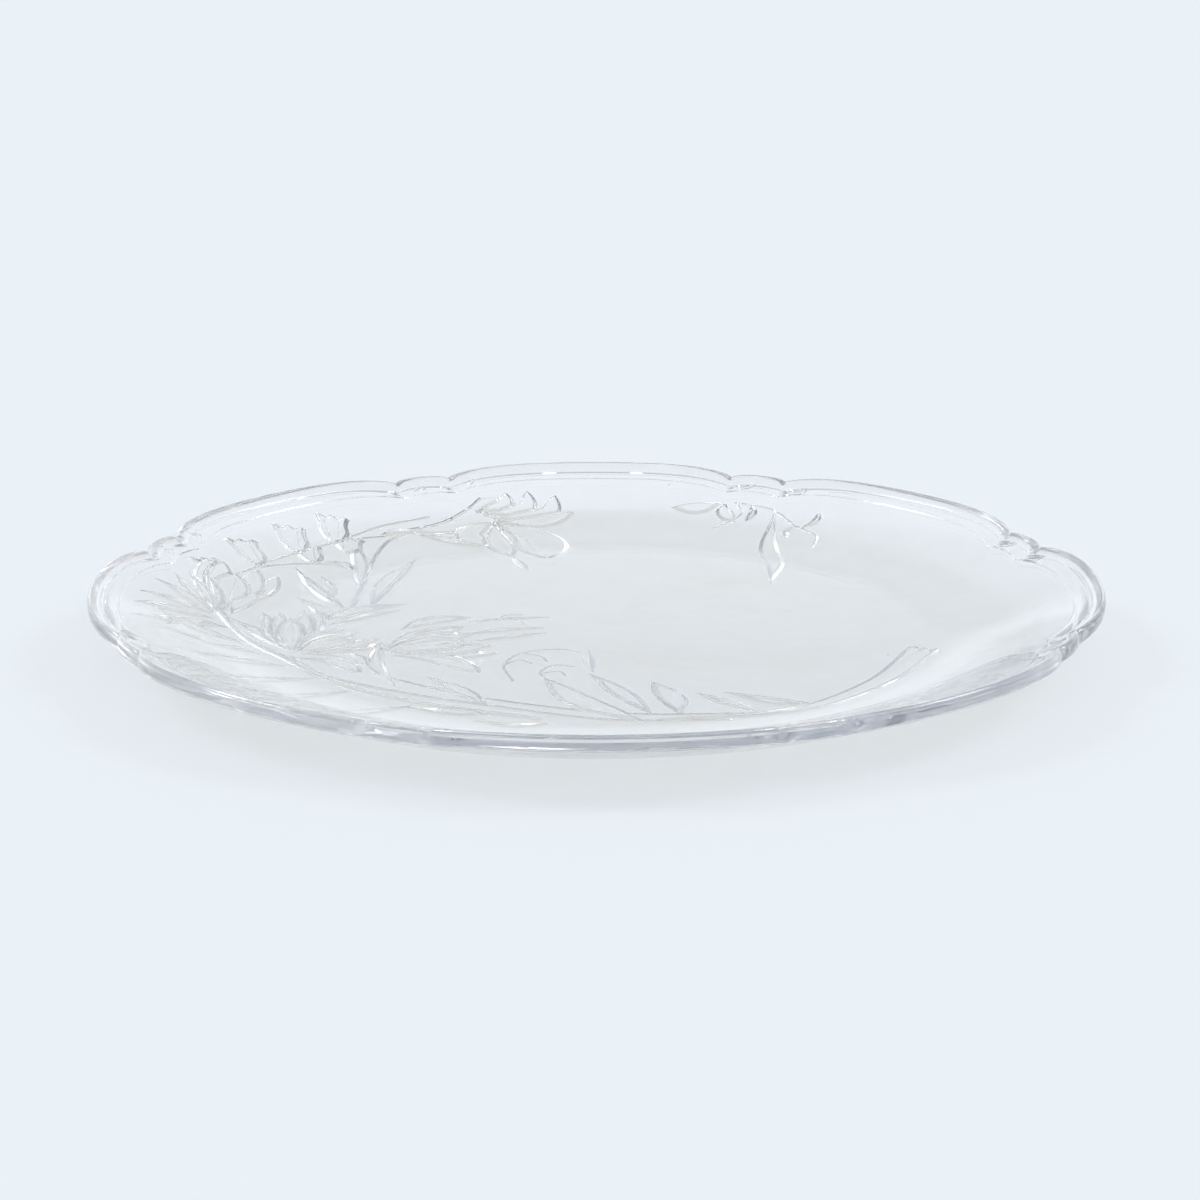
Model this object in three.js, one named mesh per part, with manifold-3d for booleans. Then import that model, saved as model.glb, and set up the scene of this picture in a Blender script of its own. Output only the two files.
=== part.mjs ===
// Round pressed-glass serving platter: a lobed rim with a reeded border and ribbon ties, a wide flare,
// a flat well, and spring flowers pressed into the underside. Millimetres, +Z up, front towards -Y.
// The origin is the middle of the flat base.
import * as THREE from 'three';
import Module from 'manifold-3d';

// Overall form
const outerDiameter = 340; // across two opposite long lobes
const height = 22; // from the base to the rim's crest
const glassThickness = 6; // in the well
const rimThickness = 3.6; // between the flare's two faces at the crest
const heelDiameter = 253; // corner where the well turns up, on the top face
const footDiameter = 257; // corner where the base turns up, on the underside
const heelBlend = 22; // run of the curve on each side of both corners

// Lobed outline
const lobeCount = 8;
const shortLobeAngle = 7.4; // degrees between the two notches of a pair
const notchDepth = 5.4; // the notches lie this far inside the outer circle
const shortLobeDepth = 3.8; // so does the tip of the short lobe
const longShoulder = 4.4; // the power that squares the long lobe's shoulders
const shortShoulder = 2.2; // and the power for the short lobe

// Reeded border
const borderWidth = 10.8;
const stepRise = 0.45; // step at the border's inner edge
const stepRun = 0.5;
const reedRise = 0.8; // inner reed
const grooveInset = 5.4; // groove between the two reeds
const grooveRise = 0.1;
const crestInset = 1.6; // top of the outer reed
const crestRise = 1;
const crestDrop = 1.7; // the outermost point lies this far below the crest
const edgeInset = 4.6; // lower edge of the rim

// Ribbon ties across the border, one at each notch
const tieWidth = 3.2;
const tieRise = 0.7;
const tieInset = 8.5; // inner end, inside the circle of the notches
const tieLead = 4; // the inner end lies this far clockwise of its notch,
const tieBulge = 9; // the middle this far
const tieTrail = 7; // and the outer end this far

// Flowers pressed into the underside
const reliefRadius = 170; // the outer radius that their points are drawn for
const reliefDepth = 1.5; // along the middle of a leaf or petal
const reliefEdge = 0.6; // at its outline
const reliefMargin = 2.5; // plain glass left inside the border
const stemDepth = 0.9;
const tipWidth = 0.5; // leaves, petals and ties end this wide

// How finely the curves are drawn
const longLobeSteps = 10;
const shortLobeSteps = 4;
const heelSteps = 4;
const leafSteps = 4;
const bellSteps = 2;
const tieSteps = 3;
const stepsPerStemPoint = 2;
const tieRoot = 1; // ties start this far inside the glass
const pressRoot = 4; // and pressed forms this far outside it

const outerRadius = outerDiameter / 2;
const heelRadius = heelDiameter / 2;
const footRadius = footDiameter / 2;
const crestRadius = outerRadius - crestInset;
const notchRadius = outerRadius - notchDepth;
const shortLobeRadius = outerRadius - shortLobeDepth;
const pitch = (2 * Math.PI) / lobeCount;
const shortHalf = THREE.MathUtils.degToRad(shortLobeAngle) / 2;
const longHalf = pitch / 2 - shortHalf;
const topSlope = (height - crestRise - glassThickness) / (crestRadius - heelRadius);
const underSlope = (height - crestRise - rimThickness) / (crestRadius - footRadius);
const flareRun = notchRadius - borderWidth - Math.max(heelRadius, footRadius);
const blend = Math.min(heelBlend, flareRun * 0.9); // the curve ends inside the border
const { lerp } = THREE.MathUtils;

// Rise of a face that turns from flat to a slope at a corner, with the corner eased
function rise(radius, corner, slope) {
  const past = radius - corner;
  if (past <= -blend) return 0;
  if (past >= blend) return slope * past;
  const share = (past + blend) / (2 * blend);
  return slope * 2 * blend * (share ** 3 - share ** 4 / 2);
}

const topHeight = (radius) => glassThickness + rise(radius, heelRadius, topSlope);
const underHeight = (radius) => rise(radius, footRadius, underSlope);

// Distance from the axis to the outline: both kinds of lobe fall off from their tips to the notches
function edgeRadius(angle) {
  const offset = Math.abs(angle - pitch * Math.round(angle / pitch));
  if (offset < longHalf) {
    return lerp(outerRadius, notchRadius, (offset / longHalf) ** longShoulder);
  }
  return lerp(shortLobeRadius, notchRadius, ((pitch / 2 - offset) / shortHalf) ** shortShoulder);
}

// One column of the section, from the middle of the well over the rim to the middle of the base
function section(angle) {
  const edge = edgeRadius(angle);
  const points = [];
  const onTop = (inset, lift) => points.push([edge - inset, topHeight(edge - inset) + lift]);

  for (let i = 0; i <= heelSteps; i++) {
    const radius = heelRadius + blend * lerp(-1, 1, i / heelSteps);
    points.push([radius, topHeight(radius)]);
  }
  onTop(borderWidth, 0);
  const reedFoot = borderWidth - stepRun;
  for (const t of [0, 1 / 3, 2 / 3, 1]) {
    onTop(lerp(reedFoot, grooveInset, t), lerp(stepRise, grooveRise, t) + reedRise * Math.sin(Math.PI * t));
  }
  for (const t of [1 / 3, 2 / 3, 1]) {
    onTop(lerp(grooveInset, crestInset, t), lerp(grooveRise, crestRise, Math.sin((t * Math.PI) / 2)));
  }
  const outermost = topHeight(edge - crestInset) + crestRise - crestDrop;
  const lowerEdge = underHeight(edge - edgeInset);
  for (const turn of [Math.PI / 4, 0]) {
    points.push([edge - crestInset * (1 - Math.cos(turn)), outermost + crestDrop * Math.sin(turn)]);
  }
  for (const turn of [Math.PI / 6, Math.PI / 3, Math.PI / 2]) {
    points.push([edge - edgeInset * (1 - Math.cos(turn)), lerp(outermost, lowerEdge, Math.sin(turn))]);
  }
  for (let i = heelSteps; i >= 0; i--) {
    const radius = footRadius + blend * lerp(-1, 1, i / heelSteps);
    points.push([radius, underHeight(radius)]);
  }
  return points;
}

// Angles of the columns, closer together towards the notches
function columnAngles() {
  const angles = [];
  const fan = (middle, half, steps) => {
    for (let i = 0; i < steps; i++) angles.push(middle - half * Math.cos((Math.PI * i) / steps));
  };
  for (let lobe = 0; lobe < lobeCount; lobe++) {
    fan(lobe * pitch, longHalf, longLobeSteps);
    fan((lobe + 0.5) * pitch, shortHalf, shortLobeSteps);
  }
  return angles;
}

const wasm = await Module();
wasm.setup();

function solid(vertices, triangles) {
  const vertProperties = Float32Array.from(vertices.flat());
  const triVerts = Uint32Array.from(triangles.flat());
  return new wasm.Manifold(new wasm.Mesh({ numProp: 3, vertProperties, triVerts }));
}

// The plain lobed dish
function dish() {
  const angles = columnAngles();
  const columns = angles.map(section);
  const rings = columns[0].length;
  const vertices = [];
  const triangles = [];
  columns.forEach((column, i) => {
    for (const [radius, z] of column) {
      vertices.push([radius * Math.cos(angles[i]), radius * Math.sin(angles[i]), z]);
    }
  });
  const wellMiddle = vertices.push([0, 0, glassThickness]) - 1;
  const baseMiddle = vertices.push([0, 0, 0]) - 1;
  angles.forEach((_, i) => {
    const here = i * rings;
    const next = ((i + 1) % angles.length) * rings;
    triangles.push([wellMiddle, here, next]);
    for (let ring = 0; ring < rings - 1; ring++) {
      triangles.push([here + ring, here + ring + 1, next + ring + 1]);
      triangles.push([here + ring, next + ring + 1, next + ring]);
    }
    triangles.push([baseMiddle, next + rings - 1, here + rings - 1]);
  });
  return solid(vertices, triangles);
}

// A bar along a path, with a ridged upper side that keeps its height over a face of the glass
function bar(path, steps, widthAt, face, root, edge, middle) {
  const curve = new THREE.CatmullRomCurve3(path.map(([x, y]) => new THREE.Vector3(x, y, 0)));
  const vertices = [];
  const triangles = [];
  const onFace = (x, y, lift) => vertices.push([x, y, face(Math.hypot(x, y)) + lift]);
  const sides = 5;
  for (let i = 0; i <= steps; i++) {
    const { x, y } = curve.getPointAt(i / steps);
    const along = curve.getTangentAt(i / steps);
    const half = widthAt(i / steps) / 2;
    const left = [x - along.y * half, y + along.x * half];
    const right = [x + along.y * half, y - along.x * half];
    onFace(...left, -root);
    onFace(...left, edge);
    onFace(x, y, middle);
    onFace(...right, edge);
    onFace(...right, -root);
  }
  for (let i = 0; i < steps; i++) {
    for (let side = 0; side < sides; side++) {
      const a = i * sides + side;
      const b = i * sides + ((side + 1) % sides);
      triangles.push([a, b, b + sides]);
      triangles.push([a, b + sides, a + sides]);
    }
  }
  const last = steps * sides;
  for (let side = 1; side < sides - 1; side++) {
    triangles.push([0, side + 1, side]);
    triangles.push([last, last + side, last + side + 1]);
  }
  return solid(vertices, triangles);
}

// Crescent ribbon over the border, just clockwise of every notch
function ties() {
  const bars = [];
  const borderFace = (radius) => topHeight(radius) + crestRise / 2;
  const inner = notchRadius - tieInset;
  const outer = notchRadius - crestInset;
  for (let lobe = 0; lobe < lobeCount; lobe++) {
    for (const side of [-1, 1]) {
      const notch = lobe * pitch + side * longHalf;
      const clockwise = (radius, arc) => {
        const angle = notch - arc / notchRadius;
        return [radius * Math.cos(angle), radius * Math.sin(angle)];
      };
      const path = [
        clockwise(inner, tieLead),
        clockwise(lerp(inner, outer, 0.45), tieBulge),
        clockwise(outer, tieTrail),
      ];
      const width = (t) => tipWidth + (tieWidth - tipWidth) * Math.sin(Math.PI * t);
      bars.push(bar(path, tieSteps, width, borderFace, tieRoot, 0, tieRise));
    }
  }
  return bars;
}

// Pressed forms: points are given for the drawn radius and kept inside the border
const reliefScale = outerRadius / reliefRadius;
const reliefLimit = notchRadius - borderWidth - reliefMargin;

function place([x, y]) {
  const radius = Math.hypot(x, y) * reliefScale;
  const keep = reliefScale * Math.min(1, reliefLimit / Math.max(radius, reliefLimit * Number.EPSILON));
  return [x * keep, y * keep];
}

function pressed(path, steps, widthAt, depth) {
  const edge = Math.min(reliefEdge, depth);
  const width = (t) => widthAt(t) * reliefScale;
  return bar(path.map(place), steps, width, underHeight, pressRoot, edge, depth);
}

function leaf(width, ...path) {
  return pressed(path, leafSteps, (t) => tipWidth + (width - tipWidth) * Math.sin(Math.PI * t), reliefDepth);
}

function petal(width, ...path) {
  const full = (t) => tipWidth + (width - tipWidth) * Math.sin(Math.PI * t ** 1.4);
  return pressed(path, leafSteps, full, reliefDepth);
}

function stem(width, ...path) {
  const steps = (path.length - 1) * stepsPerStemPoint;
  return pressed(path, steps, () => width, stemDepth);
}

// Narrow at the stalk, swelling to a flared mouth
function bell(width, stalk, mouth) {
  return pressed([stalk, mouth], bellSteps, (t) => width * lerp(0.3, 1, Math.sqrt(t)), reliefDepth);
}

const lily = () => [
  stem(2.4, [-66, 122], [-77, 107], [-80, 80], [-82, 45], [-86, 25]),
  bell(24, [-66, 122], [-37, 131]),
  petal(6, [-36, 138], [-29, 147], [-27, 153]),
  petal(6, [-33, 138], [-23, 146], [-21, 153]),
  petal(7, [-31, 137], [-21, 142], [-13, 148]),
  petal(7, [-31, 134], [-20, 136], [-12, 141]),
  petal(15, [-31, 131], [-17, 122], [-12, 91]),
  petal(9, [-34, 129], [-29, 103], [-21, 75]),
  petal(8, [-38, 131], [-45, 122], [-40, 114]),
];

const lilyLeaves = () => [
  leaf(6, [-84, 38], [-83, 80], [-88, 114]),
  leaf(6, [-77, 36], [-73, 65], [-63, 95]),
  leaf(6, [-86, 27], [-96, 52], [-106, 78]),
  leaf(4, [-91, 45], [-92, 58], [-96, 71]),
  leaf(7, [-93, 8], [-94, 28], [-103, 45]),
  leaf(6, [-97, 1], [-101, 15], [-104, 29]),
  leaf(7, [-103, -16], [-109, 3], [-107, 22]),
  petal(11, [-92, 12], [-80, 24], [-65, 36]),
];

const bellSprays = () => [
  stem(1.6, [-128, 66], [-119, 80], [-107, 87], [-95, 88]),
  bell(8, [-95, 88], [-87, 82]),
  stem(1.6, [-119, 84], [-107, 95], [-98, 112], [-86, 124], [-71, 132]),
  bell(9, [-98, 112], [-94, 122]),
  bell(10, [-107, 96], [-110, 106]),
  bell(8, [-103, 103], [-92, 105]),
  bell(8, [-115, 88], [-118, 97]),
  bell(9, [-125, 72], [-121, 90]),
  bell(9, [-131, 70], [-131, 82]),
  leaf(5, [-90, 117], [-79, 122], [-67, 126]),
];

const leftTulip = () => [
  petal(9, [-128, 46], [-137, 58], [-135, 69]),
  petal(8, [-127, 46], [-128, 60], [-128, 72]),
  petal(8, [-126, 48], [-119, 65], [-110, 50]),
  stem(2.6, [-127, 48], [-126, 34], [-129, 19]),
  leaf(7, [-125, 22], [-121, 36], [-115, 47]),
  leaf(5, [-130, 20], [-133, 36], [-140, 50]),
  leaf(6, [-131, 20], [-140, 33], [-147, 43]),
  leaf(6, [-132, 20], [-143, 27], [-151, 29]),
  leaf(6, [-132, 17], [-143, 15], [-152, 9]),
];

const sweepingStems = () => [
  stem(4, [-129, 20], [-117, -8], [-101, -33], [-84, -60], [-56, -80], [-20, -98]),
  stem(2, [-126, 17], [-112, -2], [-103, -20]),
  stem(3, [-101, -28], [-88, -50], [-62, -69], [-30, -85], [2, -98]),
  stem(2, [0, -97], [22, -99], [52, -97]),
  leaf(7, [-118, -12], [-134, -5], [-147, 2]),
  leaf(8, [-112, -24], [-131, -20], [-149, -17]),
  leaf(9, [-103, -38], [-122, -38], [-141, -40]),
  leaf(9, [-93, -52], [-111, -59], [-128, -66]),
];

const tulips = () => [
  petal(10, [-100, -21], [-99, -5], [-81, 3]),
  petal(11, [-99, -21], [-90, -12], [-82, -4]),
  petal(8, [-98, -22], [-84, -20], [-77, -7]),
  petal(8, [-100, -28], [-86, -27], [-77, -38]),
  petal(8, [-99, -30], [-88, -34], [-80, -45]),
  petal(12, [-70, -21], [-60, -4], [-43, 7]),
  petal(13, [-69, -22], [-54, -13], [-38, -16]),
  petal(10, [-67, -24], [-55, -28], [-41, -30]),
  petal(10, [-66, 4], [-60, 15], [-46, 17]),
  leaf(5, [-45, -2], [-32, 3], [-18, 6]),
  leaf(4, [-43, 14], [-30, 17], [-16, 19]),
  leaf(7, [-65, -62], [-72, -36], [-72, -9]),
  petal(8, [-62, -84], [-50, -88], [-36, -92]),
  petal(7, [-40, -99], [-29, -104], [-17, -102]),
];

const middleBells = () => [
  stem(1.4, [-28, -52], [-31, -34], [-22, -20], [-8, -20]),
  bell(6, [-31, -33], [-25, -30]),
  bell(6, [-22, -20], [-20, -28]),
  bell(6, [-9, -20], [-7, -28]),
];

const frontLeaves = () => [
  leaf(10, [14, -101], [-7, -76], [-18, -52]),
  leaf(7, [16, -92], [5, -68], [-4, -47]),
  leaf(4, [-2, -47], [-3, -35], [-3, -22]),
  leaf(9, [25, -91], [21, -75], [18, -57]),
  leaf(8, [-36, -82], [-44, -70], [-51, -54]),
  leaf(5, [50, -90], [41, -81], [31, -71]),
  leaf(6, [71, -84], [54, -80], [40, -70]),
  leaf(8, [20, -98], [62, -89], [90, -60], [110, -20]),
];

const hangingSprig = () => [
  leaf(8, [49, 145], [41, 143], [31, 144]),
  petal(6, [51, 145], [50, 140], [53, 133]),
  stem(1.4, [54, 143], [56, 136], [51, 131], [45, 128]),
  leaf(7, [68, 134], [64, 108], [65, 85], [62, 61]),
  stem(1.6, [55, 144], [67, 135], [75, 122], [82, 112], [80, 104]),
  bell(5, [75, 122], [72, 116]),
  bell(5, [79, 119], [82, 126]),
  bell(5, [59, 140], [58, 131]),
];

const relief = [
  lily, lilyLeaves, bellSprays, leftTulip, sweepingStems, tulips, middleBells, frontLeaves, hangingSprig,
].flatMap((motif) => motif());

const join = (solids) => solids.reduce((whole, piece) => whole.add(piece));

function geometryOf(manifold) {
  const { vertProperties, triVerts, numProp } = manifold.getMesh();
  const geometry = new THREE.BufferGeometry();
  const positions = new THREE.InterleavedBuffer(vertProperties, numProp);
  geometry.setAttribute('position', new THREE.InterleavedBufferAttribute(positions, 3, 0));
  geometry.setIndex(new THREE.BufferAttribute(triVerts, 1));
  geometry.computeVertexNormals();
  return geometry;
}

const glass = new THREE.MeshStandardMaterial({
  color: 0xdde3ea,
  roughness: 0.05,
  metalness: 0,
  transparent: true,
  opacity: 0.35,
});

const platter = new THREE.Mesh(geometryOf(join([dish(), ...ties()]).subtract(join(relief))), glass);
platter.name = 'platter';

const part = new THREE.Group();
part.add(platter);

export default part;
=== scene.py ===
import math
import bpy
import numpy as np
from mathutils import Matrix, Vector
from mathutils.geometry import delaunay_2d_cdt
from mathutils.kdtree import KDTree


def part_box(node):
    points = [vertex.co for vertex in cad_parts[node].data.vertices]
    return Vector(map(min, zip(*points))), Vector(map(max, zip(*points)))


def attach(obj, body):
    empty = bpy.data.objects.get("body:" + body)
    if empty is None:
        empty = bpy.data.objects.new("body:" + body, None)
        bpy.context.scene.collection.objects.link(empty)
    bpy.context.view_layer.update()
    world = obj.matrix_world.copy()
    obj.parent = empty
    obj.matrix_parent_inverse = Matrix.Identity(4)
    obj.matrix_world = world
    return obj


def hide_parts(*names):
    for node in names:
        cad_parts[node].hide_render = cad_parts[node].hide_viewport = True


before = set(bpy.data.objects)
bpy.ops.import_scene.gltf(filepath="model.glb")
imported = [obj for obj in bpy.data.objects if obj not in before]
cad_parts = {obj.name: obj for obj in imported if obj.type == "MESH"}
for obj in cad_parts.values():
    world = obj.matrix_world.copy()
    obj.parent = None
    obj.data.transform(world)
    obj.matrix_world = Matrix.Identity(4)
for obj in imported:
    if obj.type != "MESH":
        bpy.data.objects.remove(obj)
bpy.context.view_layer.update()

# Pressed-glass platter. Sizes are in millimetres and turned into metres when the mesh is made.
millimetre = 0.001
tiny = 1e-6
lowCorner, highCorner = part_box("platter")
outerRadius = highCorner.x / millimetre
height = highCorner.z / millimetre

dish = {
    "glassThickness": 6.0,  # in the well
    "rimThickness": 3.6,  # between the flare's two faces at the crest
    "heelDiameter": 253.0,  # corner of the well, on the top face
    "footDiameter": 257.0,  # corner of the base, on the underside
    "heelBlend": 22.0,  # run of the curve on each side of both corners
    "wellSpacing": 9.0,  # mesh spacing where the glass is plain
    "heelSpacing": 3.0,
    "heelColumns": 240,
    "heelInset": 18.5,  # the evenly spaced rings end this far inside the notches
    "underInset": 8.5,  # and the underside's loose points this far inside its edge
}

outline = {
    "lobeCount": 8,
    "shortLobeAngle": 7.4,  # degrees between the two notches of a pair
    "notchDepth": 5.4,  # inside the outer circle
    "shortLobeDepth": 3.8,
    "longShoulder": 4.4,  # the power that squares a lobe's shoulders
    "shortShoulder": 2.2,
    "tieZone": 9.0,  # degrees on each side of a short lobe that carry the ties
    "fineStep": 0.3,  # degrees between columns there
    "plainStep": 0.6,  # and elsewhere
}

border = {
    "width": 10.8,
    "stepRise": 0.4,  # at the inner edge
    "stepRun": 0.6,
    "reedRise": 0.2,  # inner reed
    "grooveInset": 5.4,
    "grooveRise": 0.1,
    "crestInset": 1.4,  # top of the outer reed
    "crestRise": 1.0,
    "crestDrop": 1.5,  # from the crest to the outermost point
    "edgeInset": 4.6,  # lower edge of the rim
    "edgeSquare": 3.4,  # the power that squares it; 2 is a plain ellipse
    "pitDepth": 0.9,  # hollow just inside each notch
    "pitInset": 2.7,
    "pitRun": 1.3,
    "crestSteps": 6,
    "edgeSteps": 12,
    "reedRows": ((2.0, 5.0, 0.45), (5.0, 5.9, 0.2), (6.1, 9.9, 0.5)),  # mesh rows: from, to, spacing
    "stepRows": (10.05, 10.2, 10.32, 10.44, 10.56, 10.68, 10.8),
    "flareRows": (11.1, 11.8, 12.6, 13.5, 14.6),
    "lastRow": (16.5, 3),  # inset, and one column kept in so many
    "underRows": ((0.8, 1), (2.0, 2), (4.0, 3), (7.0, 4)),  # the same, from the lower edge
}

ties = {
    "width": 3.6,
    "rise": 0.24,
    "inset": 8.5,  # inner end, inside the circle of the notches
    "middle": 0.45,  # share of the way to the outer end where the ribbon bulges
    "lead": 4.0,  # the inner end lies this far clockwise of its notch,
    "bulge": 9.0,  # the middle this far
    "trail": 7.0,  # and the outer end this far
    "tipWidth": 0.8,
    "strandPower": 1.5,  # the power that narrows the two strands
    "edgeShare": 0.98,  # keeps the division that finds the half width off zero
    "trace": 0.25,  # spacing of the points that trace the middle line
    "station": 0.5,  # mesh spacing along it
    "clear": 0.3,  # the border's own mesh points stay this far off
    "rows": (-1.25, -1, -0.85, -0.7, -0.5, -0.3, -0.12, 0, 0.12, 0.3, 0.5, 0.7, 0.85, 1, 1.25),
}

pitch = 2 * math.pi / outline["lobeCount"]
shortHalf = math.radians(outline["shortLobeAngle"]) / 2
longHalf = pitch / 2 - shortHalf
notchRadius = outerRadius - outline["notchDepth"]
shortLobeRadius = outerRadius - outline["shortLobeDepth"]
crestRadius = outerRadius - border["crestInset"]
heelRadius = dish["heelDiameter"] / 2
footRadius = dish["footDiameter"] / 2
rimFace = height - border["crestRise"]
topSlope = (rimFace - dish["glassThickness"]) / (crestRadius - heelRadius)
underSlope = (rimFace - dish["rimThickness"]) / (crestRadius - footRadius)


def smooth(t):
    t = np.clip(t, 0, 1)
    return t * t * (3 - 2 * t)


def lerp(a, b, t):
    return a + (b - a) * t


# The dish's two faces

# Flat, then an eased bend round the corner, then straight up the flare
def rise(radius, corner, slope):
    blend = dish["heelBlend"]
    past = radius - corner
    share = np.clip((past + blend) / (2 * blend), 0, 1)
    curved = slope * 2 * blend * (share ** 3 - share ** 4 / 2)
    return np.where(past >= blend, slope * past, curved)


def topHeight(radius):
    return dish["glassThickness"] + rise(radius, heelRadius, topSlope)


def underHeight(radius):
    return rise(radius, footRadius, underSlope)


def lobeOffset(angle):
    return np.abs(angle - pitch * np.round(angle / pitch))


def edgeRadius(angle):
    offset = lobeOffset(angle)
    longFall = np.clip(offset / longHalf, 0, 1) ** outline["longShoulder"]
    shortFall = np.clip((pitch / 2 - offset) / shortHalf, 0, 1) ** outline["shortShoulder"]
    longEdge = lerp(outerRadius, notchRadius, longFall)
    return np.where(offset < longHalf, longEdge, lerp(shortLobeRadius, notchRadius, shortFall))


# Reeded border: step, inner reed, groove, outer reed, with a hollow at each notch

def borderLift(inset, angle):
    foot = border["width"] - border["stepRun"]
    groove = border["grooveInset"]
    step = border["stepRise"] * smooth((border["width"] - inset) / border["stepRun"])
    inner = np.clip((foot - inset) / (foot - groove), 0, 1)
    innerReed = lerp(border["stepRise"], border["grooveRise"], inner)
    innerReed += border["reedRise"] * np.sin(math.pi * inner)
    outer = np.clip((groove - inset) / (groove - border["crestInset"]), 0, 1)
    outerReed = lerp(border["grooveRise"], border["crestRise"], np.sin(outer * math.pi / 2))
    lift = np.where(inset > foot, step, np.where(inset > groove, innerReed, outerReed))
    arc = (lobeOffset(angle) - longHalf) * notchRadius
    reach = (arc / border["pitRun"]) ** 2 + ((inset - border["pitInset"]) / border["pitRun"]) ** 2
    return lift - border["pitDepth"] * np.exp(-reach)


# Bands: ribbons, stems, leaves, petals and bells all follow a middle line and have a width along it

bands = {
    "samples": 32,  # between two knots, before the points are spaced evenly
    "fewest": 4,  # steps along the shortest band
    "margin": 2.0,  # points this far outside a band still count as near it
}
bells = {
    "lengths": (0, 0.12, 0.4, 0.7, 0.9, 1),  # shares of a bell's length
    "widths": (0.24, 0.6, 0.86, 0.8, 0.88, 1),  # and of its width there
    "toothLength": 0.24,  # share of half the mouth
    "toothWaves": 1.5,  # between the middle of the mouth and its corner
    "ribStart": 0.1,  # share of the width from the middle to each rib, at the stalk
    "ribEnd": 0.22,  # and at the mouth
}


# Points along a smooth curve through the knots, evenly spaced
def curveThrough(knots, spacing):
    knots = [2 * knots[0] - knots[1], *knots, 2 * knots[-1] - knots[-2]]
    line = []
    share = np.linspace(0, 1, bands["samples"] + 1)[:-1, None]
    for p0, p1, p2, p3 in zip(knots, knots[1:], knots[2:], knots[3:]):
        d0, d1, d2 = (math.sqrt(np.hypot(*(b - a))) for a, b in ((p0, p1), (p1, p2), (p2, p3)))
        leave = ((p1 - p0) / d0 - (p2 - p0) / (d0 + d1) + (p2 - p1) / d1) * d1
        arrive = ((p2 - p1) / d1 - (p3 - p1) / (d1 + d2) + (p3 - p2) / d2) * d1
        bend = -3 * p1 + 3 * p2 - 2 * leave - arrive
        twist = 2 * p1 - 2 * p2 + leave + arrive
        line.append(p1 + leave * share + bend * share ** 2 + twist * share ** 3)
    line = np.vstack([*line, knots[-2]])
    run = np.concatenate(([0], np.cumsum(np.hypot(*np.diff(line, axis=0).T))))
    at = np.linspace(0, run[-1], max(bands["fewest"], round(run[-1] / spacing)) + 1)
    middle = np.column_stack([np.interp(at, run, line[:, 0]), np.interp(at, run, line[:, 1])])
    forward = np.gradient(middle, axis=0)
    forward /= np.hypot(*forward.T)[:, None]
    return middle, forward, at


def band(kind, knots, spacing, widthAt):
    middle, forward, at = curveThrough(knots, spacing)
    half = widthAt(at / at[-1]) / 2
    reach = half.max() + bands["margin"]
    return {
        "kind": kind,
        "middle": middle,
        "forward": forward,
        "side": np.column_stack([-forward[:, 1], forward[:, 0]]),
        "at": at,
        "half": half,
        "low": middle.min(axis=0) - reach,
        "high": middle.max(axis=0) + reach,
    }


def nearForm(piece, points):
    return np.flatnonzero(((points > piece["low"]) & (points < piece["high"])).all(axis=1))


def bellTeeth(share):
    return bells["toothLength"] * np.cos(share * math.pi * bells["toothWaves"]) ** 2


# How far inside a band's outline points lie, and their share of its half width
def measure(piece, points):
    steps = points[:, None, :] - piece["middle"][None, :, :]
    nearest = np.argmin((steps ** 2).sum(axis=2), axis=1)
    step = steps[np.arange(len(points)), nearest]
    along = (step * piece["forward"][nearest]).sum(axis=1)
    sideways = (step * piece["side"][nearest]).sum(axis=1)
    half = piece["half"][nearest]
    last = len(piece["middle"]) - 1
    before = (nearest == 0) & (along < 0)
    beyond = (nearest == last) & (along > 0)
    inside = half - np.abs(sideways)
    inside = np.where(before, half - np.hypot(along, sideways), inside)
    if piece["kind"] == "bell":
        left = piece["at"][-1] - piece["at"][nearest] - along
        inside = np.minimum(inside, left + bellTeeth(sideways / half) * half)
    else:
        inside = np.where(beyond, half - np.hypot(along, sideways), inside)
    return inside, sideways / half


# Two-strand crescent ribbon over the border, just clockwise of every notch

def ribbon(notch):
    inner = notchRadius - ties["inset"]
    outer = notchRadius - border["crestInset"]
    stops = (
        (inner, ties["lead"]),
        (lerp(inner, outer, ties["middle"]), ties["bulge"]),
        (outer, ties["trail"]),
    )
    turns = [notch - arc / notchRadius for _, arc in stops]
    knots = [r * np.array((math.cos(t), math.sin(t))) for (r, _), t in zip(stops, turns)]
    tip = ties["tipWidth"]
    return band("tie", knots, ties["trace"], lambda t: tip + (ties["width"] - tip) * np.sin(math.pi * t))


lobes = range(outline["lobeCount"])
ribbons = [ribbon(lobe * pitch + side * longHalf) for lobe in lobes for side in (-1, 1)]


def layTies(x, y, z):
    points = np.column_stack([x, y])
    z = z.copy()
    for tie in ribbons:
        near = nearForm(tie, points)
        if not len(near):
            continue
        inside, share = measure(tie, points[near])
        strand = np.clip(1 - (2 * np.abs(share) - 1) ** 2, 0, 1) ** ties["strandPower"]
        half = inside / (1 - np.minimum(np.abs(share), ties["edgeShare"]))
        taper = smooth(half / (ties["width"] / 2))
        z[near] += np.where(inside > 0, ties["rise"] * strand * taper, 0)
    return z


def topFace(x, y):
    radius = np.hypot(x, y)
    angle = np.arctan2(y, x)
    inset = edgeRadius(angle) - radius
    return layTies(x, y, topHeight(radius) + borderLift(inset, angle))


# Flowers pressed into the underside

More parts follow.
